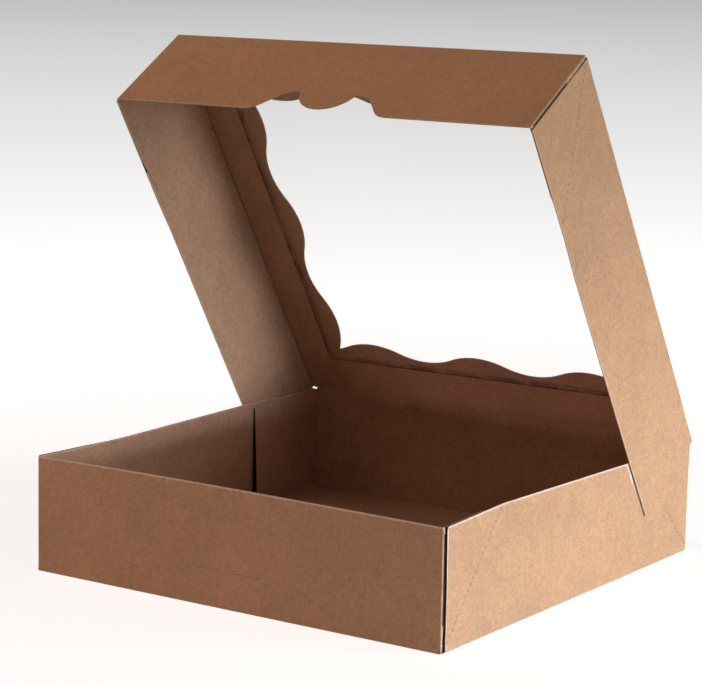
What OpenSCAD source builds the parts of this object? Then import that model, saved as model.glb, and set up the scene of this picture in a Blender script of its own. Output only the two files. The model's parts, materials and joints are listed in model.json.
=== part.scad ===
// Window bakery box: one folded kraft blank with a clear film behind a scalloped window.
// The front wall faces -Y, the lid's crease runs along the top of the back wall at +Y.

/* [Board] */
// Thickness of the kraft board
board_t = 0.45; // [0.3:0.05:0.8]
// Inside radius of the folds
fold_r = 0.25; // [0.15:0.05:1]

/* [Tray] */
// Width of the tray over the feet of its side walls
tray_w = 250; // [200:1:320]
// Depth of the tray from the front wall to the back wall
tray_d = 250; // [200:1:320]
// Height of the tray from the table to the lid's crease
tray_h = 61; // [50:0.5:90]
// How far the front and side rims stop below the crease
rim_drop = 0.2; // [0.1:0.1:2]
// How far the side walls lean in between their diagonal creases, at the height of the crease
side_lean = 5; // [1:0.5:8]

/* [Lid] */
// Angle that the lid stands open
lid_open = 58; // [0:0.5:120]
// Room between the foot of a tray side and the lid tab outside it
side_room = 0.25; // [0.2:0.05:3]
// Room between the front wall and the lid's front flap outside it
front_room = 0.6; // [0.4:0.1:3]
// How far the lid's sides stop above the table when it is shut
foot_room = 0.3; // [0.2:0.1:4]
// Slit between the back wall's top and the lid's rolled rear edge
crease_gap = 0.1; // [0.05:0.05:0.3]
// Gap between the crease and the rear end of a lid strip
strip_gap = 0.4; // [0.3:0.1:3]

/* [Glue tabs] */
// Gap between a corner fold of the tray and the cut end of the side wall
corner_gap = 1; // [0.3:0.1:3]
// Gap between a corner fold of the lid and the cut end of the side strip
flap_gap = 1; // [0.3:0.1:3]
// Room between a tray tab and the side wall that it is glued to
tray_glue = 0.7; // [0.2:0.05:1]
// Room between a lid tab and the strip that it is glued to
lid_glue = 0.3; // [0.2:0.05:1]
// Radius of the dab of glue in that room
glue_r = 6; // [3:0.5:8]
// How far the dab of glue keeps from the panel's cut edges
glue_set = 4; // [2:0.5:8]
// Height of the notch under a tab, above the fold that it would touch
tab_notch = 0.3; // [0.2:0.1:3]
// Length of the tray's tabs from the corner
tray_tab = 62.5; // [40:0.5:75]
// Length of the lid's tabs from the corner
lid_tab = 62; // [40:0.5:75]
// Length of the slope at a tab's upper end
tip_run = 22; // [5:0.5:30]
// Drop of the slope at a tab's upper end
tip_drop = 3; // [1:0.1:8]
// Size of the bevel at a tab's lower end
toe_bevel = 3; // [2:0.5:15]

/* [Window] */
// Width of the lid's frame beside the window, to the middle of the wave
frame_side = 33; // [20:0.5:45]
// Width of the lid's frame before and behind the window, to the middle of the wave
frame_end = 36; // [25:0.5:45]
// Length of one wave of the scalloped edge
wave_pitch = 71; // [50:1:90]
// Rise of the wave on each side of its middle
wave_rise = 4; // [2:0.5:8]
// Thickness of the clear film
film_t = 0.2; // [0.1:0.05:0.4]
// How far the film reaches past the deepest wave
film_lap = 7; // [2:0.5:10]

/* [Thumb cut] */
// Width of the flat top of the cut-out in the front flap
cut_top = 38; // [34:1:60]
// Depth of the cut-out
cut_depth = 16.5; // [12:0.5:22]
// Radius of the cut-out's round corners
cut_r = 11.4; // [4:0.2:13]
// Slope of the cut-out's sides
cut_slope = 50; // [40:1:70]
// Radius of the tongue that hangs in the cut-out
tongue_r = 17.4; // [14:0.2:20]
// How far the tongue's tip stops above the flap's edge
tongue_short = 3; // [1:0.5:6]
// Height of the lock slit in the front wall
slit_h = 0.4; // [0.2:0.1:1]
// How far the slit lies above the tongue's root when the lid is shut
slit_rise = 2; // [0:0.5:4]
// How far the slit reaches past the tongue's root at each end
slit_over = 2; // [0.5:0.5:4]

/* [Fold-flat creases] */
// Length of one cut dash
dash_len = 1.6; // [1:0.1:5]
// Width of one cut dash
dash_w = 0.3; // [0.2:0.1:1]
// Uncut length between dashes
dash_gap = 2; // [1:0.1:6]

/* [Hidden] */
$fn = 64;
kraft = [0.62, 0.45, 0.32];
clear_film = [0.9, 0.93, 0.95, 0.2];
over = 1;
fold_out = fold_r + board_t;
tray_out = fold_out + tray_glue + board_t;
lid_out = fold_out + lid_glue + board_t;
lean_angle = atan(side_lean / tray_h);
flat_foot = tray_out + corner_gap;
rim_h = tray_h - rim_drop;
crease_w = tray_w - 2 * tray_out;
hinge_y = tray_d / 2 - board_t / 2;
hinge_z = tray_h + crease_gap + board_t / 2;
lid_w = tray_w + 2 * (side_room + board_t + lid_glue + board_t);
lid_d = hinge_y + tray_d / 2 + front_room + board_t;
lid_h = hinge_z + board_t / 2 - foot_room;
top_w = lid_w - 2 * lid_out;
window_w = lid_w - 2 * frame_side;
window_d = lid_d - 2 * frame_end;
wave_r = (pow(wave_pitch / 4, 2) + pow(wave_rise, 2)) / (2 * wave_rise);
film_w = window_w + 2 * (wave_rise + film_lap);
film_d = window_d + 2 * (wave_rise + film_lap);
cut_arc_x = cut_r * sin(cut_slope);
cut_arc_y = cut_r * (1 - cos(cut_slope));
cut_foot = cut_top / 2 + 2 * cut_arc_x + (cut_depth - 2 * cut_arc_y) / tan(cut_slope);
tongue_y = tongue_short + tongue_r;
root_half = sqrt(pow(tongue_r, 2) - pow(tongue_y - cut_depth, 2));
slit_z = hinge_z + board_t / 2 - lid_h + cut_depth + slit_rise;
dash_pitch = dash_len + dash_gap;

// Board folded round the origin, from the X axis through a little more than a quarter turn
module fold_arc(r_out, turn) {
    far = 2 * r_out;
    intersection() {
        difference() {
            circle(r = r_out);
            circle(r = r_out - board_t);
        }
        polygon([[0, 0], [far, 0], [far, far], [far * cos(turn), far * sin(turn)]]);
    }
}

// Section of a wall with the fold at its foot, which reaches out to x = edge
module wall_section(edge, height, r_out, lean) {
    translate([edge - r_out, r_out]) {
        rotate(-90)
            fold_arc(r_out, 90 + lean);
        rotate(lean)
            translate([r_out - board_t, 0])
                square([board_t, height - r_out]);
    }
}

// Section drawn in X and Z, extruded along Y between two places
module along_y(from, to) {
    translate([0, to, 0])
        rotate([90, 0, 0])
            linear_extrude(to - from)
                children();
}

// Section drawn in Y and Z, extruded evenly along X
module along_x(width) {
    rotate([90, 0, 90])
        translate([0, 0, -width / 2])
            linear_extrude(width)
                children();
}

// Both sides of the box
module both_sides() {
    for (side = [0, 1])
        mirror([side, 0, 0])
            children();
}

// Corner fold round the Z axis, behind a wall towards +Y, with the tab that runs back along -Y
// and the dab of glue that holds it to the panel outside it, which ends at a gap from the fold
module corner_tab(length, height, r_out, lean, gap) {
    reach = length - fold_out;
    tab_foot = r_out - sqrt(pow(r_out - board_t, 2) - pow(fold_out, 2)) + tab_notch;
    rotate(-lean) {
        translate([0, 0, tab_foot])
            linear_extrude(height - tab_foot)
                fold_arc(fold_out, 90 + lean);
        rotate([90, 0, -90])
            translate([0, 0, -fold_out])
                linear_extrude(board_t)
                    polygon([
                        [0, tab_foot],
                        [reach - toe_bevel, tab_foot],
                        [reach, tab_foot + toe_bevel],
                        [reach, height - tip_drop],
                        [reach - tip_run, height],
                        [0, height],
                    ]);
        translate([fold_out - board_t / 2, -gap - glue_set - glue_r, height - glue_set - glue_r])
            rotate([0, 90, 0])
                cylinder(r = glue_r, h = r_out - fold_out);
    }
}

// Dashed cut through a side panel along the diagonal crease from a corner fold round the Z axis
module dashed_cut(height, r_out, lean) {
    start = flat_foot + dash_gap / 2;
    depth = (r_out - fold_out + board_t) / 2;
    count = floor(((height - r_out) * sqrt(2) - start) / dash_pitch);
    translate([r_out / cos(lean), 0, r_out])
        rotate([135, 0, 0])
            rotate(atan(tan(lean) / sqrt(2)))
                for (k = [0 : count - 1])
                    translate([-depth, start + k * dash_pitch, -dash_w / 2])
                        cube([depth + over, dash_len, dash_w]);
}

// Side wall of the tray between its diagonal creases
module side_wall() {
    end = tray_d / 2 - fold_out - corner_gap;
    top = tray_d / 2 - fold_out - rim_h + tray_out;
    intersection() {
        along_y(-end, end)
            wall_section(tray_w / 2, rim_h + over, tray_out, lean_angle);
        along_x(tray_w + 2 * over)
            polygon([
                [-end, -over],
                [end, -over],
                [end, flat_foot],
                [top, rim_h],
                [-top, rim_h],
                [-end, flat_foot],
            ]);
    }
}

// Upright corner of a side wall past its diagonal crease, outside a corner fold round the Z axis
module corner_flat() {
    intersection() {
        rotate(-lean_angle)
            translate([tray_out - board_t, -tray_h, 0])
                cube([board_t, 2 * tray_h, tray_h]);
        rotate([90, 0, -90])
            translate([0, 0, -tray_h])
                linear_extrude(2 * tray_h)
                    polygon([[corner_gap, flat_foot], [rim_h - tray_out, rim_h], [corner_gap, rim_h]]);
    }
}

// The four corner folds of the tray, each from the Z axis on
module tray_corners() {
    for (end = [0, 1])
        mirror([0, end, 0])
            both_sides()
                translate([crease_w / 2, tray_d / 2 - fold_out, 0])
                    children();
}

// Lock slit in the front wall
module lock_slit() {
    width = 2 * (root_half + slit_over);
    translate([-width / 2, -tray_d / 2 - over, slit_z - slit_h / 2])
        cube([width, board_t + 2 * over, slit_h]);
}

// Bottom, four walls and the glue tabs behind their corners
module tray() {
    color(kraft)
        difference() {
            union() {
                along_x(crease_w) {
                    translate([fold_out - tray_d / 2, 0])
                        square([tray_d - 2 * fold_out, board_t]);
                    wall_section(tray_d / 2, tray_h, fold_out, 0);
                    mirror([1, 0])
                        wall_section(tray_d / 2, rim_h, fold_out, 0);
                }
                both_sides()
                    side_wall();
                tray_corners() {
                    corner_flat();
                    corner_tab(tray_tab, rim_h, tray_out, lean_angle, corner_gap);
                }
            }
            lock_slit();
            tray_corners()
                dashed_cut(rim_h, tray_out, lean_angle);
        }
}

// Strip along Y whose two long edges are waves of tangent arcs with a hollow at the middle
module wavy_band(width, length) {
    waves = ceil(length / wave_pitch / 2) + 1;
    reach = width / 2 - wave_rise + wave_r;
    difference() {
        union() {
            square([width, length + 2 * wave_pitch], center = true);
            for (side = [-1, 1], k = [-waves : waves - 1])
                translate([side * (width - reach), (k + 0.5) * wave_pitch])
                    circle(r = wave_r);
        }
        for (side = [-1, 1], k = [-waves : waves])
            translate([side * reach, k * wave_pitch])
                circle(r = wave_r);
    }
}

// Scalloped outline of the window
module window_outline() {
    intersection() {
        wavy_band(window_w, window_d);
        rotate(90)
            wavy_band(window_d, window_w);
    }
}

// Thumb cut-out above the edge at y = 0, round at the top, flared at the foot, with the tongue left in
module thumb_outline() {
    flank_x = cut_foot - cut_arc_x;
    crown_x = cut_top / 2 + cut_arc_x;
    difference() {
        union() {
            polygon([
                [-cut_foot, -over],
                [-cut_foot, 0],
                [-flank_x, cut_arc_y],
                [-crown_x, cut_depth - cut_arc_y],
                [-cut_top / 2, cut_depth],
                [cut_top / 2, cut_depth],
                [crown_x, cut_depth - cut_arc_y],
                [flank_x, cut_arc_y],
                [cut_foot, 0],
                [cut_foot, -over],
            ]);
            for (side = [-1, 1])
                translate([side * cut_top / 2, cut_depth - cut_r])
                    circle(r = cut_r);
        }
        for (side = [-1, 1])
            translate([side * cut_foot, cut_r])
                circle(r = cut_r);
        translate([0, tongue_y])
            circle(r = tongue_r);
    }
}

// Places a lid that is drawn upside down, from the crease axis forward along +Y and inward along +Z
module on_crease() {
    translate([0, hinge_y, hinge_z])
        rotate([-lid_open, 0, 0])
            rotate([180, 0, 0])
                translate([0, 0, -board_t / 2])
                    children();
}

// The two front corner folds of the lid, each from the Z axis on
module lid_corners() {
    both_sides()
        translate([top_w / 2, lid_d - fold_out, 0])
            children();
}

// Top panel with the scalloped window, side strips, front flap and its glue tabs
module lid() {
    color(kraft)
        on_crease()
            difference() {
                union() {
                    along_x(top_w) {
                        translate([0, board_t / 2])
                            circle(d = board_t);
                        square([lid_d - fold_out, board_t]);
                        wall_section(lid_d, lid_h, fold_out, 0);
                    }
                    both_sides()
                        along_y(strip_gap, lid_d - fold_out - flap_gap)
                            wall_section(lid_w / 2, lid_h, lid_out, 0);
                    lid_corners()
                        corner_tab(lid_tab, lid_h, lid_out, 0, flap_gap);
                }
                translate([0, lid_d / 2, -over])
                    linear_extrude(board_t + 2 * over)
                        window_outline();
                translate([0, lid_d + over, lid_h])
                    rotate([-90, 0, 0])
                        translate([0, 0, -board_t - 2 * over])
                            linear_extrude(board_t + 2 * over)
                                thumb_outline();
                lid_corners()
                    dashed_cut(lid_h, lid_out, 0);
            }
}

// Clear film glued to the inside of the top panel
module window_film() {
    color(clear_film)
        on_crease()
            translate([-film_w / 2, lid_d / 2 - film_d / 2, board_t])
                cube([film_w, film_d, film_t]);
}

tray();
lid();
window_film();
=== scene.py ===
"""Looks of the window bakery box: folded kraft board with a clear film behind the window."""
import json
import math

import bmesh
import bpy
from mathutils import Matrix, Vector, noise
from mathutils.bvhtree import BVHTree


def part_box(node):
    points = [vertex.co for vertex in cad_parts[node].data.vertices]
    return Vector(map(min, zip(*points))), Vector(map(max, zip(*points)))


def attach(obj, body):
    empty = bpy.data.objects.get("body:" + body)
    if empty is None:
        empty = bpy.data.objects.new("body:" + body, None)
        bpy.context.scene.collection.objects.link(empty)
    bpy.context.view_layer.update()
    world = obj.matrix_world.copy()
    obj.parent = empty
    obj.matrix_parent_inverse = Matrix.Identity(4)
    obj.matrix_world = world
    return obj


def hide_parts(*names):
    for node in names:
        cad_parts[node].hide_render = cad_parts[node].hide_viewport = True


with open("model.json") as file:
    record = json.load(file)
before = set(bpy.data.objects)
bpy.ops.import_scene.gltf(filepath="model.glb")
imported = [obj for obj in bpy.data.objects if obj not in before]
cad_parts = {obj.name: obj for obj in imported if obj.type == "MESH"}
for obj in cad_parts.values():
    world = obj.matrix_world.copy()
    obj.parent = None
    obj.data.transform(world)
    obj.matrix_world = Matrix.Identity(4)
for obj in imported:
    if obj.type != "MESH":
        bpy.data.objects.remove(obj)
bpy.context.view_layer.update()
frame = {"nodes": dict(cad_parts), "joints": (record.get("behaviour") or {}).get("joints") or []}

MM = 0.001
ORIGIN = Vector((0, 0, 0))
ACROSS = Vector((1, 0, 0))
BACK = Vector((0, 1, 0))
UP = Vector((0, 0, 1))

# The lid's own directions at rest: along it from the crease, and inward from its top panel
joint = frame["joints"][0]
HINGE = Vector(joint["pos_m"])
LID_ANGLE = math.radians(-joint["range_deg"][0])
ALONG = Vector((0, -math.cos(LID_ANGLE), math.sin(LID_ANGLE)))
INWARD = Vector((0, -math.sin(LID_ANGLE), -math.cos(LID_ANGLE)))

# How far the lid reaches from its crease, how deep its strips and flap are, and the film's edges
lid_points = [v.co - HINGE for v in frame["nodes"]["lid"].data.vertices]
LID_LONG = max(p.dot(ALONG) for p in lid_points)
LID_DEEP = max(p.dot(INWARD) for p in lid_points)
film_points = [v.co - HINGE for v in frame["nodes"]["window_film"].data.vertices]
FILM_HALF = max(p.x for p in film_points)
FILM_NEAR = min(p.dot(ALONG) for p in film_points)
FILM_FAR = max(p.dot(ALONG) for p in film_points)

# Board
BOARD_T = 0.45 * MM
GLUED_T = 2 * MM  # more than two layers and the glue between them
SCORE_W = 0.2 * MM  # an inner fold narrower than this is a score line
CUT_STEP = 9 * MM  # spacing of the cuts that let a panel bend
FLAT_ANGLE = math.radians(4)  # edges below this angle are smooth
OUT, IN, CUT, FOLD, PAINTED_SHADE, SCORE_SHADE = range(6)

# Tests on points and faces
WELD = 0.5e-6
PLANE_SNAP = 1e-7
SKIN = 1e-6
ASKEW = 0.5
SQUARE = 0.985
STEEP = 0.5

# Tray, whose tabs and side walls lie beyond TAB_SIDE
RIM_Z = 60.8 * MM
FOOT_Z = 2 * MM
FLOOR_TOP = 0.46 * MM
TRAY_HALF = 125 * MM
WALL_BAND = 1.4 * MM
WALL_END = 123.3 * MM
WALL_TRIM = 0.8 * MM
TAB_SIDE = 117 * MM
TAB_FOOT = 0.94 * MM
TAB_SNAP = 0.02 * MM
TAB_END = 62.5 * MM
# TAB_REACH: a face with another layer this close before it gets near-black painted shade
TAB_REACH = 6 * MM  # a face with another so close before it lies in the dark
TAB_HELD = 0.7 * MM
TAB_PRESS = 0.45
TIP_RUN = 22 * MM
TIP_DROP = 3.2 * MM

# How the tray's front wall bows back, and its side walls ease out
LEAN_TOP = 3.2 * MM
LEAN_SKEW = 0.75
SIDE_LEAN = 5 * MM
EASE_FROM = -62 * MM
EASE_TO = 56 * MM
EASE_SHARE = 0.94

# Rear corners, where the board of the tray turns into the lid
REAR_CORNER = 118 * MM
CREASE_END = 123.17 * MM
CREASE_TOP = 61.09 * MM
CORNER_SIDE = 124 * MM
HOLE_DROP = 0.8 * MM

# Lid strips, which are pinched in at the crease and lean in behind their glued corners
STRIP_SIDE = 124 * MM
STRIP_TAB = 62 * MM
STRIP_REACH = 1.2 * MM
STRIP_IN = 126 * MM
STRIP_GLUE = 0.28 * MM
STRIP_FOLD = 3 * MM
STRIP_LEAN = 0.7 * MM
STRIP_HELD = 66 * MM
STRIP_FREE = 90 * MM
STRIP_PINCH = 0.45 * MM
PINCH_RUN = 45 * MM

# Film, flat in its glued border and fully wavy from FILM_FREE inward
FILM_STEP = 7 * MM
FILM_GLUED = 9 * MM
FILM_FREE = 36 * MM
FILM_WAVE = 0.12 * MM
FILM_SAG = 0.6
FILM_WAVE_LENGTH = 45 * MM


def link(obj):
    bpy.context.scene.collection.objects.link(obj)
    return obj


# Shader helpers

NOISE_LOW = 0.3
NOISE_HIGH = 0.7
BACKDROP_RAYS = ("Is Camera Ray", "Is Glossy Ray", "Is Transmission Ray")


class Nodes:
    """Short hand for the node tree of one material or world."""

    def __init__(self, owner, output):
        owner.use_nodes = True
        self.owner = owner
        self.tree = owner.node_tree
        self.tree.nodes.clear()
        self.output = self.add(output)

    def add(self, kind, inputs=None, **settings):
        node = self.tree.nodes.new("ShaderNode" + kind)
        for key, value in settings.items():
            setattr(node, key, value)
        for key, value in (inputs or {}).items():
            if isinstance(value, bpy.types.NodeSocket):
                self.tree.links.new(value, node.inputs[key])
            else:
                node.inputs[key].default_value = value
        return node

    def noise(self, vector, scale, detail=3, rough=0.55):
        node = self.add("TexNoise", {
            "Vector": vector, "Scale": scale, "Detail": detail, "Roughness": rough,
        })
        return node.outputs["Fac"]

    def stretched(self, vector, scale, turn=(0, 0, 0)):
        node = self.add("Mapping", {"Vector": vector, "Scale": scale, "Rotation": turn})
        return node.outputs["Vector"]

    def ramp(self, value, low, high, to_low=0.0, to_high=1.0):
        node = self.add("MapRange", {
            "Value": value, "From Min": low, "From Max": high, "To Min": to_low, "To Max": to_high,
        })
        return node.outputs["Result"]

    def spread(self, value, to_low=0.0, to_high=1.0):
        """The usual range of a noise, spread from to_low to to_high."""
        return self.ramp(value, NOISE_LOW, NOISE_HIGH, to_low, to_high)

    def math(self, operation, a, b):
        return self.add("Math", {0: a, 1: b}, operation=operation).outputs["Value"]

    def join(self, operation, values):
        """One value from several, by one operation after the other."""
        joined = values[0]
        for value in values[1:]:
            joined = self.math(operation, joined, value)
        return joined

    def mix(self, factor, a, b):
        """Colour between a and b: 6 and 7 are the node's colour inputs, 2 its colour output."""
        return self.add("Mix", {0: factor, 6: a, 7: b}, data_type="RGBA").outputs[2]

    def backdrop(self):
        """1 for the rays that see the backdrop itself, 0 for those that carry its light."""
        path = self.add("LightPath")
        return self.join("MAXIMUM", [path.outputs[kind] for kind in BACKDROP_RAYS])

    def surface(self, shader):
        self.tree.links.new(shader.outputs[0], self.output.inputs["Surface"])
        return self.owner


def new_material(name):
    """Nodes of a new material, and the place on the object that its patterns follow."""
    n = Nodes(bpy.data.materials.new(name), "OutputMaterial")
    return n, n.add("TexCoord").outputs["Object"]


def rgba(colour):
    return (*colour, 1.0)


def scaled(colour, factor):
    return tuple(c * factor for c in colour)


def tinted(colour, tint):
    return tuple(c * t for c, t in zip(colour, tint))


# Colours
KRAFT_OUT = (0.575, 0.345, 0.2)
KRAFT_IN = (0.545, 0.335, 0.215)
# Folds: paler from stretched fibre, and partly a painted highlight on the rounded fold
KRAFT_FOLD_STRETCH_AND_HIGHLIGHT = (0.62, 0.41, 0.255)
KRAFT_CUT = (0.72, 0.54, 0.37)
# Near-black painted shade for the gaps between close layers and for the dashed slots
KRAFT_PAINTED_SHADE = (0.04, 0.022, 0.015)
# Score lines: crushed board, darkened further as painted shade in the inner crease
KRAFT_SCORE_SHADE = (0.36, 0.21, 0.135)
KRAFT_RUBBED = (0.88, 0.75, 0.62)
TORN_FIBRE = (0.86, 0.8, 0.72)
FILM_PALE = (0.93, 0.95, 0.96)
FILM_CLEAR = (0.98, 0.985, 0.99)
# Dark glue band on the film's edges, partly painted shade of the film's edge
FILM_GLUE_SHADE = (0.12, 0.065, 0.045)

# Pulp: noise scales per metre, and how far each noise shifts the tone from dark to pale
CLOUD_SCALE = 26
CLOUD_TONE = 0.14
PATCH_SCALE = 110
PATCH_TONE = 0.1
MOTTLE_SCALE = 380
MOTTLE_TONE = 0.22
MOTTLE_RISE = 0.8
GRAIN_SCALE = 1250
GRAIN_TONE = (0.2, 0.8)
GRAIN_RISE = 0.5
PULP_DARK = 0.76
PULP_PALE = 1.24

# Fibres, two dark and two pale: scales per metre, turn, noise from which they show, and strength
FIBRES = (
    ((260, 1900, 1900), (0.2, 0.1, 0.3), 0.6, 0.55),
    ((1900, 280, 1900), (0.1, 0.3, 0.5), 0.6, 0.55),
    ((1900, 1900, 300), (0.6, 0.5, 0.2), 0.6, 0.5),
    ((1700, 350, 1700), (0.9, 0.2, 1.1), 0.62, 0.5),
)
FIBRE_FADE = 0.12
FIBRE_DARK = (0.6, 0.53, 0.47)
FIBRE_PALE = 1.36

# Board surfaces: range of the roughness, specular level and strength of the bump
BUMP_DEPTH = 0.1 * MM
KRAFT_SURFACE = ((0.74, 0.9), 0.3, 0.25)
DARK_SURFACE = ((0.55, 0.75), 0.3, 0.15)
CUT_SURFACE = ((0.82, 0.95), 0.2, 0.3)

# Cut edges: noise scales per metre, tones, and where the outer colour shows through
FUZZ_SCALE = 2600
FUZZ_DARK = 0.72
FUZZ_PALE = 1.12
DRIFT_SCALE = 140
DRIFT_RANGE = (0.4, 0.75, 0, 0.5)

# Wear: bands along the edges, and ends beyond the object for a band that is open on one side
EDGE_BAND = 1.1 * MM
EDGE_FADE = 0.5 * MM
UP_TO_ALL = (1.0, 2.0)
FROM_ALL = (-2.0, -1.0)
WEAR_RANGE = (0.3, 0.65)
WEAR_LEAST = 0.5
WEAR_TRAY = 0.95
WEAR_TRAY_IN = 0.5
WEAR_LID = 0.35

# Where the tray is worn: at its side walls' front ends, and along its rims short of the crease
WALL_CUT = WALL_END - WALL_TRIM
WALL_RUB = [WALL_CUT + offset * MM for offset in (-0.9, -0.4, 0.2, 0.4)]
SIDE_RUB = (TAB_SIDE, TAB_SIDE + 1 * MM, *UP_TO_ALL)
RIM_RUB = (*FROM_ALL, TRAY_HALF - 4 * MM, TRAY_HALF - 2 * MM)

# Torn scuff on the tray's right side, just below the lid's strip
TORN_SCALE = 700
TORN_RANGE = (0.4, 0.5)
SCUFF_RUN = [HINGE.dot(ALONG) + run * MM for run in (19, 27, 37, 40)]
SCUFF_WIDTH = [HINGE.dot(INWARD) + LID_DEEP + width * MM for width in (0.1, 0.4, 1.3, 2.6)]
SCUFF_SIDE = (0, 0.1, *UP_TO_ALL)

# Film: noise scales per metre, gloss and see-through, and the glue along its edges, darkened as
# painted shade of the film's edge
DRAW_SCALE = (30, 30, 6)
DRAW_BUMP = 0.06
DRAW_DEPTH = 0.4 * MM
SMEAR_SCALE = 22
SMEAR_ROUGH = (0.35, 0.7, 0.03, 0.09)
GLOSS_BLEND = 0.12
GLOSS_ALPHA = (0.0, 1.0, 0.03, 0.5)
GLUE_SHADE_SCALE = 60
GLUE_SHADE_RANGE = (0.35, 0.65, 0.1, 0.6)
GLUE_SHADE_FULL = 0.2


# Materials

def fibre_board(n, place, colour):
    """Colour, height and mottle of kraft: cloudy pulp with dark and pale fibres every way."""
    cloud = n.noise(place, CLOUD_SCALE, detail=4)
    patch = n.noise(place, PATCH_SCALE, detail=4, rough=0.6)
    mottle = n.noise(place, MOTTLE_SCALE, detail=4, rough=0.6)
    grain = n.noise(place, GRAIN_SCALE, detail=2)
    tone = n.join("ADD", [
        n.spread(cloud, -CLOUD_TONE, CLOUD_TONE),
        n.spread(patch, -PATCH_TONE, PATCH_TONE),
        n.spread(mottle, -MOTTLE_TONE, MOTTLE_TONE),
        n.spread(grain, *GRAIN_TONE),
    ])
    base = n.mix(tone, rgba(scaled(colour, PULP_DARK)), rgba(scaled(colour, PULP_PALE)))
    fibres = []
    shown = []
    for scale, turn, start, strength in FIBRES:
        fibre = n.noise(n.stretched(place, scale, turn), 1, detail=2)
        fibres.append(fibre)
        shown.append(n.ramp(fibre, start, start + FIBRE_FADE, 0, strength))
    base = n.mix(n.join("MAXIMUM", shown[:2]), base, rgba(tinted(colour, FIBRE_DARK)))
    base = n.mix(n.join("MAXIMUM", shown[2:]), base, rgba(scaled(colour, FIBRE_PALE)))
    grain_rise = n.math("MULTIPLY", grain, GRAIN_RISE)
    mottle_rise = n.math("MULTIPLY", mottle, MOTTLE_RISE)
    fibre_rise = n.math("ADD", fibres[0], fibres[2])
    height = n.math("ADD", n.math("ADD", grain_rise, mottle_rise), fibre_rise)
    return base, height, mottle


def band(n, place, axis, points):
    """1 between the two middle points along axis, fading to 0 at the outer two."""
    along = n.add("VectorMath", {0: place, 1: axis}, operation="DOT_PRODUCT").outputs["Value"]
    return n.math("MULTIPLY", n.ramp(along, *points[:2]), n.ramp(along, *points[2:], 1, 0))


def up_to_edge(edge):
    return (edge - EDGE_BAND, edge - EDGE_FADE, *UP_TO_ALL)


def meeting(n, place, bands):
    """1 where all the bands meet, 0 outside any of them."""
    return n.join("MULTIPLY", [band(n, place, axis, points) for axis, points in bands])


def board_surface(n, colour, height, pattern, surface):
    """Matt board, whose roughness follows the pattern."""
    rough, specular, strength = surface
    bump = n.add("Bump", {"Strength": strength, "Distance": BUMP_DEPTH, "Height": height})
    shader = n.add("BsdfPrincipled", {
        "Base Color": colour,
        "Roughness": n.spread(pattern, *rough),
        "Specular IOR Level": specular,
        "Normal": bump.outputs["Normal"],
    })
    return n.surface(shader)


def kraft(name, colour, rub, wear, torn=None):
    """Uncoated kraft board, rubbed pale by the share wear where the bands of each rub meet along a
    cut edge, and with a torn scuff where the bands of torn meet."""
    n, place = new_material(name)
    base, height, mottle = fibre_board(n, place, colour)
    edges = n.join("MAXIMUM", [meeting(n, place, bands) for bands in rub])
    patchy = n.ramp(mottle, *WEAR_RANGE, WEAR_LEAST * wear, wear)
    base = n.mix(n.math("MULTIPLY", edges, patchy), base, rgba(KRAFT_RUBBED))
    if torn:
        shreds = n.ramp(n.noise(place, TORN_SCALE, rough=0.6), *TORN_RANGE)
        scuff = n.math("MULTIPLY", meeting(n, place, torn), shreds)
        base = n.mix(scuff, base, rgba(TORN_FIBRE))
    return board_surface(n, base, height, mottle, KRAFT_SURFACE)


def dark_board(name, colour):
    """Dark board: near-black painted shade between glued layers and in narrow slots, or a score
    line, crushed and darkened with painted shade in its inner crease.
    """
    n, place = new_material(name)
    base, height, mottle = fibre_board(n, place, colour)
    return board_surface(n, base, height, mottle, DARK_SURFACE)


def cut_board(name):
    """Raw cut edge of the board: pale, with layers and loose fibre."""
    n, place = new_material(name)
    fuzz = n.noise(place, FUZZ_SCALE, rough=0.7)
    drift = n.noise(place, DRIFT_SCALE)
    dark = rgba(scaled(KRAFT_CUT, FUZZ_DARK))
    pale = rgba(scaled(KRAFT_CUT, FUZZ_PALE))
    base = n.mix(n.ramp(drift, *DRIFT_RANGE), n.mix(n.spread(fuzz), dark, pale), rgba(KRAFT_OUT))
    return board_surface(n, base, fuzz, fuzz, CUT_SURFACE)


def clear_film(name, edges):
    """Thin clear film: see-through, with a faint gloss, uneven draw, and glue along its edges
    darkened as painted shade of the film's edge.
    """
    n, place = new_material(name)
    draw = n.noise(n.stretched(place, DRAW_SCALE), 1)
    smear = n.noise(place, SMEAR_SCALE)
    bump = n.add("Bump", {"Strength": DRAW_BUMP, "Distance": DRAW_DEPTH, "Height": draw})
    gloss = n.add("LayerWeight", {"Blend": GLOSS_BLEND}).outputs["Fresnel"]
    border = n.join("MAXIMUM", [band(n, place, axis, up_to_edge(edge)) for axis, edge in edges])
    # Dark glue band along the film's edges, partly painted shade of the film's edge
    glue = n.math("MULTIPLY", border, n.ramp(n.noise(place, GLUE_SHADE_SCALE), *GLUE_SHADE_RANGE))
    tint = n.mix(smear, rgba(FILM_PALE), rgba(FILM_CLEAR))
    shader = n.add("BsdfPrincipled", {
        "Base Color": n.mix(n.ramp(glue, 0, GLUE_SHADE_FULL), tint, rgba(FILM_GLUE_SHADE)),
        "Roughness": n.ramp(smear, *SMEAR_ROUGH),
        "Alpha": n.math("MAXIMUM", glue, n.ramp(gloss, *GLOSS_ALPHA)),
        "Normal": bump.outputs["Normal"],
    })
    return n.surface(shader)


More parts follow.
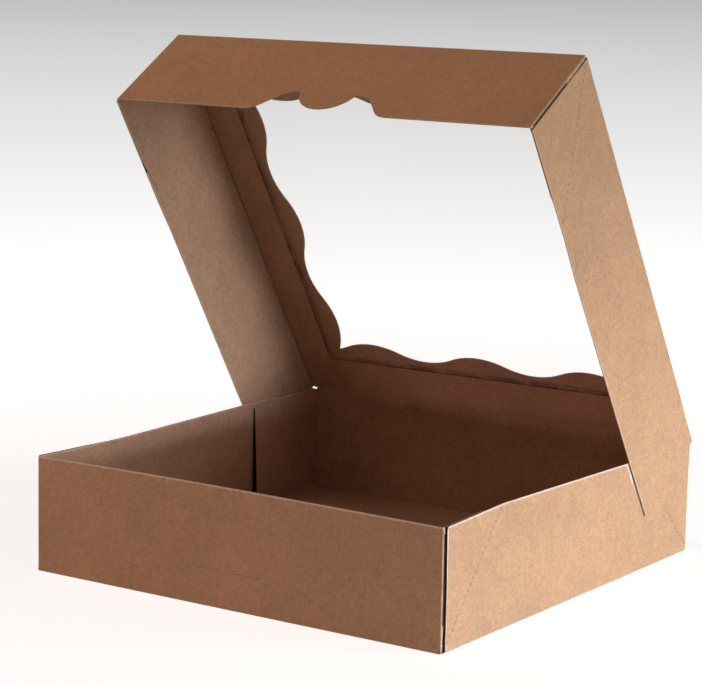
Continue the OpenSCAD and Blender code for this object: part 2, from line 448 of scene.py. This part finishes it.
tray_rub = [
    [(UP, up_to_edge(RIM_Z)), (BACK, RIM_RUB)],
    [(-BACK, WALL_RUB), (ACROSS, SIDE_RUB)],
    [(-BACK, WALL_RUB), (-ACROSS, SIDE_RUB)],
]
tray_torn = [(ALONG, SCUFF_RUN), (INWARD, SCUFF_WIDTH), (ACROSS, SCUFF_SIDE)]
lid_rub = [[(INWARD, up_to_edge(HINGE.dot(INWARD) + LID_DEEP))]]
film_edges = [
    (ACROSS, FILM_HALF),
    (-ACROSS, FILM_HALF),
    (ALONG, HINGE.dot(ALONG) + FILM_FAR),
    (-ALONG, -HINGE.dot(ALONG) - FILM_NEAR),
]

tray_out = kraft("tray_kraft_out", KRAFT_OUT, tray_rub, WEAR_TRAY, tray_torn)
tray_in = kraft("tray_kraft_in", KRAFT_IN, tray_rub, WEAR_TRAY_IN)
# Fold faces: paler from stretched fibre, with a painted highlight on the rounded fold
tray_fold_highlight = kraft("tray_kraft_fold_highlight", KRAFT_FOLD_STRETCH_AND_HIGHLIGHT, tray_rub, WEAR_TRAY)
lid_out = kraft("lid_kraft_out", KRAFT_OUT, lid_rub, WEAR_LID)
lid_in = kraft("lid_kraft_in", KRAFT_IN, lid_rub, WEAR_LID)
# Fold faces: paler from stretched fibre, with a painted highlight on the rounded fold
lid_fold_highlight = kraft("lid_kraft_fold_highlight", KRAFT_FOLD_STRETCH_AND_HIGHLIGHT, lid_rub, WEAR_LID)
cut_edge = cut_board("kraft_cut_edge")
# Near-black painted shade for the gaps between close layers and for the dashed slots
glued = dark_board("kraft_painted_shade", KRAFT_PAINTED_SHADE)
# Score lines at inner folds: crushed board with painted shade in the crease
score = dark_board("kraft_score_shade", KRAFT_SCORE_SHADE)
film_clear = clear_film("film_clear", film_edges)


# Board pieces

def planes(lo, hi, axis, spacing, origin):
    count = int((hi - lo) / spacing)
    return [(origin + axis * (lo + (k + 0.5) * spacing), axis) for k in range(count + 1)]


def board_copy(node, cuts):
    """The folded board as the solids have it, with enough points to bend it."""
    bm = bmesh.new()
    bm.from_mesh(frame["nodes"][node].data)
    bmesh.ops.remove_doubles(bm, verts=bm.verts[:], dist=WELD)
    for point, normal in cuts:
        geometry = bm.verts[:] + bm.edges[:] + bm.faces[:]
        bmesh.ops.bisect_plane(bm, geom=geometry, dist=PLANE_SNAP, plane_co=point, plane_no=normal)
    return bm


def is_narrow(face):
    return face.calc_area() < SCORE_W * max(edge.calc_length() for edge in face.edges)


def sort_faces(bm, lengthwise, upright, reach, inner_side, is_crease, is_open):
    """Gives each face its part of the board: outside, inside, cut edge, fold, score line with
    painted shade, or near-black painted shade, which goes on the faces with a panel within reach
    before them and on the dashed cuts, which run askew to lengthwise and upright."""
    tree = BVHTree.FromBMesh(bm)
    for face in bm.faces:
        centre = face.calc_center_median()
        normal = face.normal
        skin = normal * SKIN
        sheet = tree.ray_cast(centre - skin, -normal, GLUED_T)[0] is not None
        covered = tree.ray_cast(centre + skin, normal, reach)[0] is not None
        askew = min(abs(normal.dot(lengthwise)), abs(normal.dot(upright))) > ASKEW
        square = max(abs(normal.dot(axis)) for axis in (ACROSS, BACK, UP, ALONG, INWARD)) > SQUARE
        # Dashed slot walls, and faces close behind another layer, get near-black painted shade
        if not sheet:
            face.material_index = FOLD if is_crease(centre) else PAINTED_SHADE if askew else CUT
        elif covered and not is_open(centre):
            face.material_index = PAINTED_SHADE
        # Narrow inner-fold faces get the score line colour, partly painted shade in the crease
        elif inner_side(centre, normal):
            face.material_index = IN if square or not is_narrow(face) else SCORE_SHADE
        else:
            face.material_index = OUT if square else FOLD


def board_piece(bm, name, materials):
    """A mesh object of the board, smooth where it bends gently and sharp at its folds and edges."""
    bm.normal_update()
    for face in bm.faces:
        face.smooth = True
    for edge in bm.edges:
        edge.smooth = len(edge.link_faces) == 2 and edge.calc_face_angle() < FLAT_ANGLE
    mesh = bpy.data.meshes.new(name)
    bm.to_mesh(mesh)
    bm.free()
    for material in materials:
        mesh.materials.append(material)
    return link(bpy.data.objects.new(name, mesh))


def linear(value, low, high):
    """Straight step from 0 at low to 1 at high."""
    return min(max((value - low) / (high - low), 0), 1)


def smooth(value, low, high):
    """Smooth step from 0 at low to 1 at high."""
    share = linear(value, low, high)
    return share * share * (3 - 2 * share)


def lean_front_wall(bm):
    """The front wall leans back between its corners, most left of its middle."""
    for v in bm.verts:
        if v.co.y < WALL_BAND - TRAY_HALF and v.co.z > FOOT_Z:
            share = (v.co.x + TRAY_HALF) / (2 * TRAY_HALF)
            bow = math.sin(math.pi * share ** LEAN_SKEW)
            v.co.y += LEAN_TOP * bow * (v.co.z - FOOT_Z) / (RIM_Z - FOOT_Z)


def press_tabs(bm):
    """The tabs follow their leaning walls a part of the way."""
    for v in bm.verts:
        if abs(v.co.x) > TAB_SIDE and abs(v.co.y) > TRAY_HALF - TAB_END - WELD:
            wall = TRAY_HALF - BOARD_T - SIDE_LEAN * v.co.z / RIM_Z
            gap = wall - abs(v.co.x) - TAB_HELD
            v.co.x += math.copysign(TAB_PRESS * max(gap, 0), v.co.x)


def ease_side_walls(bm):
    """Behind their front tabs the side walls spring out again, to lie close inside the strips."""
    for v in bm.verts:
        if abs(v.co.x) > TAB_SIDE and v.co.z > FOOT_Z:
            reach = min(v.co.z - FOOT_Z, TRAY_HALF - abs(v.co.y))
            lean = SIDE_LEAN * max(reach, 0) / RIM_Z
            share = linear(v.co.y, EASE_FROM, EASE_TO)
            v.co.x += math.copysign(EASE_SHARE * lean * share, v.co.x)


def seat_tabs(bm):
    """The tabs' lower edges reach down to the bottom panel."""
    for v in bm.verts:
        if abs(v.co.x) > TAB_SIDE and abs(v.co.z - TAB_FOOT) < TAB_SNAP:
            v.co.z = FLOOR_TOP


def trim_side_walls(bm):
    """The cut ends of the side walls stand a little back from the corner folds."""
    for v in bm.verts:
        if abs(v.co.x) > TAB_SIDE and abs(abs(v.co.y) - WALL_END) < WELD:
            v.co.y -= math.copysign(WALL_TRIM, v.co.y)


def close_crease(bm):
    """The back wall runs up to the lid, with a small hole left open at each rear corner fold."""
    for v in bm.verts:
        side = abs(v.co.x)
        if v.co.y < REAR_CORNER or v.co.z < RIM_Z - WELD or side > CORNER_SIDE:
            continue
        if side > CREASE_END and v.co.y > CORNER_SIDE:
            v.co.z -= HOLE_DROP
        elif v.co.z > RIM_Z + WELD:
            v.co.z = CREASE_TOP


def glue_strips(bm):
    """Past their fold the lid's tabs lie flat on the strips."""
    for v in bm.verts:
        run = (v.co - HINGE).dot(ALONG)
        past_fold = LID_LONG - STRIP_TAB - WELD < run < LID_LONG - STRIP_FOLD
        if past_fold and STRIP_SIDE < abs(v.co.x) < STRIP_IN - BOARD_T / 2:
            v.co.x += math.copysign(STRIP_GLUE, v.co.x)


def lean_strips(bm):
    """The lid's strips are pinched in at the crease and lean in a little behind their corners."""
    for v in bm.verts:
        run = (v.co - HINGE).dot(ALONG)
        depth = (v.co - HINGE).dot(INWARD)
        if abs(v.co.x) > STRIP_SIDE:
            lean = STRIP_LEAN * smooth(LID_LONG - run, STRIP_HELD, STRIP_FREE) * depth / LID_DEEP
            pinch = STRIP_PINCH * smooth(PINCH_RUN - run, 0, PINCH_RUN)
            v.co.x -= math.copysign(max(lean, pinch), v.co.x)


def tray_board():
    """The tray, with its walls and tabs bent as soft board takes them up."""
    lo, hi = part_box("tray")
    cuts = planes(lo.x, hi.x, ACROSS, CUT_STEP, ORIGIN)
    cuts += planes(lo.y, hi.y, BACK, CUT_STEP, ORIGIN)
    cuts += planes(lo.z, hi.z, UP, CUT_STEP, ORIGIN)
    tab_end = TRAY_HALF - TAB_END
    cuts += [(BACK * tab_end, BACK), (BACK * -tab_end, BACK), (UP * (RIM_Z - TIP_DROP), UP)]
    bm = board_copy("tray", cuts)

    def inner_side(centre, normal):
        inward = -(normal.x * centre.x + normal.y * centre.y)
        return normal.z > STEEP or (abs(normal.z) < STEEP and inward > 0)

    def is_crease(centre):
        return centre.y > TRAY_HALF - WALL_BAND and abs(centre.x) < TAB_SIDE

    def is_open(centre):
        return centre.z > RIM_Z - TIP_DROP and abs(centre.y) < tab_end + TIP_RUN

    sort_faces(bm, BACK, UP, TAB_REACH, inner_side, is_crease, is_open)
    lean_front_wall(bm)
    press_tabs(bm)
    ease_side_walls(bm)
    seat_tabs(bm)
    trim_side_walls(bm)
    close_crease(bm)
    piece = board_piece(bm, "tray_board", [tray_out, tray_in, cut_edge, tray_fold_highlight, glued, score])
    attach(piece, "tray")
    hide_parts("tray")


def lid_board():
    """The lid, with its tabs glued flat and its strips bent in a little."""
    lo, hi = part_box("lid")
    cuts = planes(lo.x, hi.x, ACROSS, CUT_STEP, ORIGIN)
    cuts += planes(0, LID_LONG, ALONG, CUT_STEP, HINGE)
    cuts += planes(0, LID_DEEP, INWARD, CUT_STEP, HINGE)
    cuts.append((HINGE + ALONG * (LID_LONG - STRIP_TAB), ALONG))
    bm = board_copy("lid", cuts)
    middle = HINGE + ALONG * (LID_LONG / 2) + INWARD * LID_DEEP

    def inner_side(centre, normal):
        return normal.dot(middle - centre) > 0

    def is_crease(centre):
        return (centre - HINGE).dot(ALONG) < BOARD_T and abs(centre.x) < STRIP_SIDE

    def is_open(centre):
        return (centre - HINGE).dot(ALONG) < LID_LONG - STRIP_TAB

    sort_faces(bm, ALONG, INWARD, STRIP_REACH, inner_side, is_crease, is_open)
    glue_strips(bm)
    lean_strips(bm)
    piece = board_piece(bm, "lid_board", [lid_out, lid_in, cut_edge, lid_fold_highlight, glued, score])
    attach(piece, "lid")
    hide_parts("lid")


def film_sheet():
    """The clear film, slightly wavy inside its glued border."""
    cuts = planes(-FILM_HALF, FILM_HALF, ACROSS, FILM_STEP, ORIGIN)
    cuts += planes(FILM_NEAR, FILM_FAR, ALONG, FILM_STEP, HINGE)
    bm = board_copy("window_film", cuts)
    for v in bm.verts:
        run = (v.co - HINGE).dot(ALONG)
        inset = min(FILM_HALF - abs(v.co.x), run - FILM_NEAR, FILM_FAR - run)
        share = linear(inset, FILM_GLUED, FILM_FREE)
        wave = noise.noise(Vector((v.co.x, run, 0)) / FILM_WAVE_LENGTH)
        v.co += INWARD * (FILM_WAVE * share * (wave + FILM_SAG))
    piece = board_piece(bm, "film_sheet", [film_clear])
    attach(piece, "lid")
    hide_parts("window_film")


tray_board()
lid_board()
film_sheet()


# Stage

# Floor, which glows a little less near the object and turns grey with distance as painted shade, in
# metres
FLOOR_R = 30.0
FLOOR_SIDES = 96
FLOOR_Z = -0.1 * MM
FLOOR_PALE = (0.5, 0.5, 0.5)
FLOOR_WHITE = (1, 1, 1)
GLOW_NEAR = 0.8
GLOW_FROM = 0.3
GLOW_TO = 0.9
FAR_SHADE_FROM = 0.9
FAR_SHADE_TO = 11.0
FAR_SHADE_DARK = 0.48

# World
AMBIENT = 0.04
AMBIENT_COLOUR = (1.0, 0.97, 0.94)
BACKDROP = (0.9, 0.9, 0.9)

# Lamps: name, place, target, width and height, watts, colour, and spread in degrees
LAMPS = (
    ("key_right_rear", (1.7, 0.7, 0.55), (0, 0, 0.1), (1.2, 1.0), 20.0, (1.0, 0.97, 0.96), 180),
    ("low_right", (0.95, -0.12, 0.06), (0, -0.05, 0), (0.8, 0.1), 0.5, (0.92, 1.0, 1.12), 36),
    ("fill_front", (-1.3, -1.5, 0.07), (0, 0, 0.03), (1.4, 0.12), 6.6, (1.0, 0.63, 0.58), 180),
    ("top_front", (-0.6, -0.8, 1.8), (0, 0, 0.15), (0.9, 0.9), 9.8, (1.0, 0.66, 0.46), 180),
)

# Photograph's view
IMAGE_W = 702
FOCAL_PX = 2482.6
SENSOR_W = 36
CAM_AZIMUTH = math.radians(34.188)
CAM_ELEVATION = math.radians(9.525)
CAM_DISTANCE = 1.3135
CAM_TARGET = Vector((-14.53, 0, 116.68)) * MM
CAM_ROLL = math.radians(1.038)
CAM_FAR = 100


def floor_material():
    """Pale floor that keeps the object's shadow, and turns slowly grey far away as painted shade.
    """
    n, place = new_material("floor_pale")
    away = n.add("VectorMath", {0: place}, operation="LENGTH").outputs["Value"]
    glow = n.ramp(away, GLOW_FROM, GLOW_TO, GLOW_NEAR, 1.0)
    log_away = n.math("LOGARITHM", away, math.e)
    # Painted shade: the floor's glow fades to grey far from the object
    clear = n.ramp(log_away, math.log(FAR_SHADE_FROM), math.log(FAR_SHADE_TO), 1.0, FAR_SHADE_DARK)
    strength = n.join("MULTIPLY", [glow, clear, n.backdrop()])
    white = n.add("Emission", {"Color": rgba(FLOOR_WHITE), "Strength": strength})
    pale = n.add("BsdfDiffuse", {"Color": rgba(FLOOR_PALE)})
    return n.surface(n.add("AddShader", {0: white.outputs[0], 1: pale.outputs[0]}))


def make_floor():
    bm = bmesh.new()
    bmesh.ops.create_circle(bm, cap_ends=True, segments=FLOOR_SIDES, radius=FLOOR_R)
    mesh = bpy.data.meshes.new("floor")
    bm.to_mesh(mesh)
    bm.free()
    mesh.materials.append(floor_material())
    floor = link(bpy.data.objects.new("floor", mesh))
    floor.location.z = FLOOR_Z


def make_world():
    """Weak light from all round, behind a pale backdrop."""
    n = Nodes(bpy.data.worlds.new("studio"), "OutputWorld")
    light = n.add("Background", {"Color": rgba(AMBIENT_COLOUR), "Strength": AMBIENT})
    white = n.add("Background", {"Color": rgba(BACKDROP)})
    both = n.add("MixShader", {0: n.backdrop(), 1: light.outputs[0], 2: white.outputs[0]})
    bpy.context.scene.world = n.surface(both)


def make_lamp(name, place, target, size, watts, colour, spread):
    light = bpy.data.lights.new(name, "AREA")
    light.shape = "RECTANGLE"
    light.size, light.size_y = size
    light.energy = watts
    light.color = colour
    light.spread = math.radians(spread)
    lamp = link(bpy.data.objects.new(name, light))
    lamp.location = place
    lamp.rotation_mode = "QUATERNION"
    lamp.rotation_quaternion = (Vector(target) - Vector(place)).to_track_quat("-Z", "Y")
    lamp.visible_camera = False


def make_camera():
    away = Vector((
        math.sin(CAM_AZIMUTH) * math.cos(CAM_ELEVATION),
        -math.cos(CAM_AZIMUTH) * math.cos(CAM_ELEVATION),
        math.sin(CAM_ELEVATION),
    ))
    level = (-away).cross(UP).normalized()
    upright = level.cross(-away)
    right = level * math.cos(CAM_ROLL) + upright * math.sin(CAM_ROLL)
    up = upright * math.cos(CAM_ROLL) - level * math.sin(CAM_ROLL)
    data = bpy.data.cameras.new("camera")
    data.sensor_width = SENSOR_W
    data.lens = FOCAL_PX * SENSOR_W / IMAGE_W
    data.clip_end = CAM_FAR
    camera = link(bpy.data.objects.new("camera", data))
    pose = Matrix((right, up, away)).transposed().to_4x4()
    pose.translation = CAM_TARGET + away * CAM_DISTANCE
    camera.matrix_world = pose
    bpy.context.scene.camera = camera


make_floor()
make_world()
for lamp_row in LAMPS:
    make_lamp(*lamp_row)
make_camera()
bpy.context.scene.view_settings.view_transform = "Standard"
